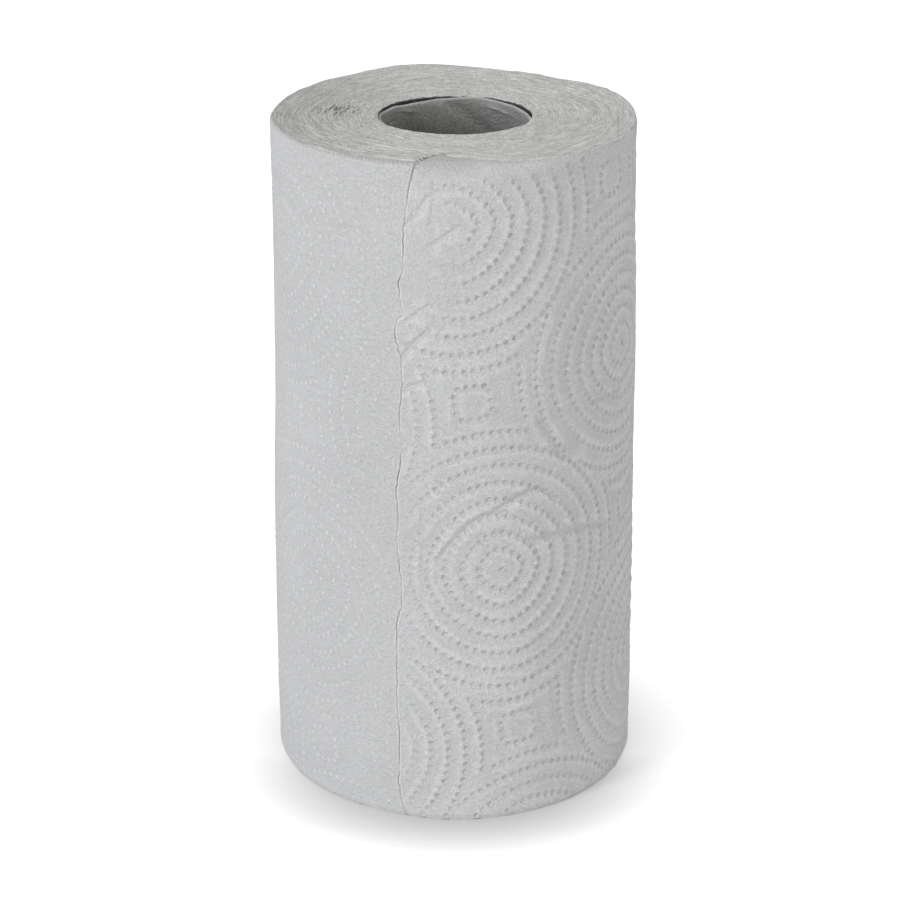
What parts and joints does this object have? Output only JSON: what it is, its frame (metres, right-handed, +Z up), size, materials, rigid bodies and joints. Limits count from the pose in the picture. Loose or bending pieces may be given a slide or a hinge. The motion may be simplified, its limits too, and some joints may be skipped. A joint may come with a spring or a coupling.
{
  "type": "paper towel roll",
  "caption": "Upright roll of embossed kitchen paper, wound as a spiral on a cardboard tube, with a loose torn edge at the front.",
  "frame": {"origin": "on the axis of the cardboard tube, in the plane that the roll stands on", "axes": "+Z up along the tube, -Y towards the front, where the torn edge of the last sheet is, +X to the right of it"},
  "size_m": [0.1192, 0.12, 0.225],
  "materials": {
    "paper": "soft matt tissue, embossed with small round pits",
    "cardboard": "rough matt grey cardboard, spiral wound"
  },
  "bodies": {
    "root": {"paper_roll": "paper", "core": "cardboard"}
  },
  "joints": []
}
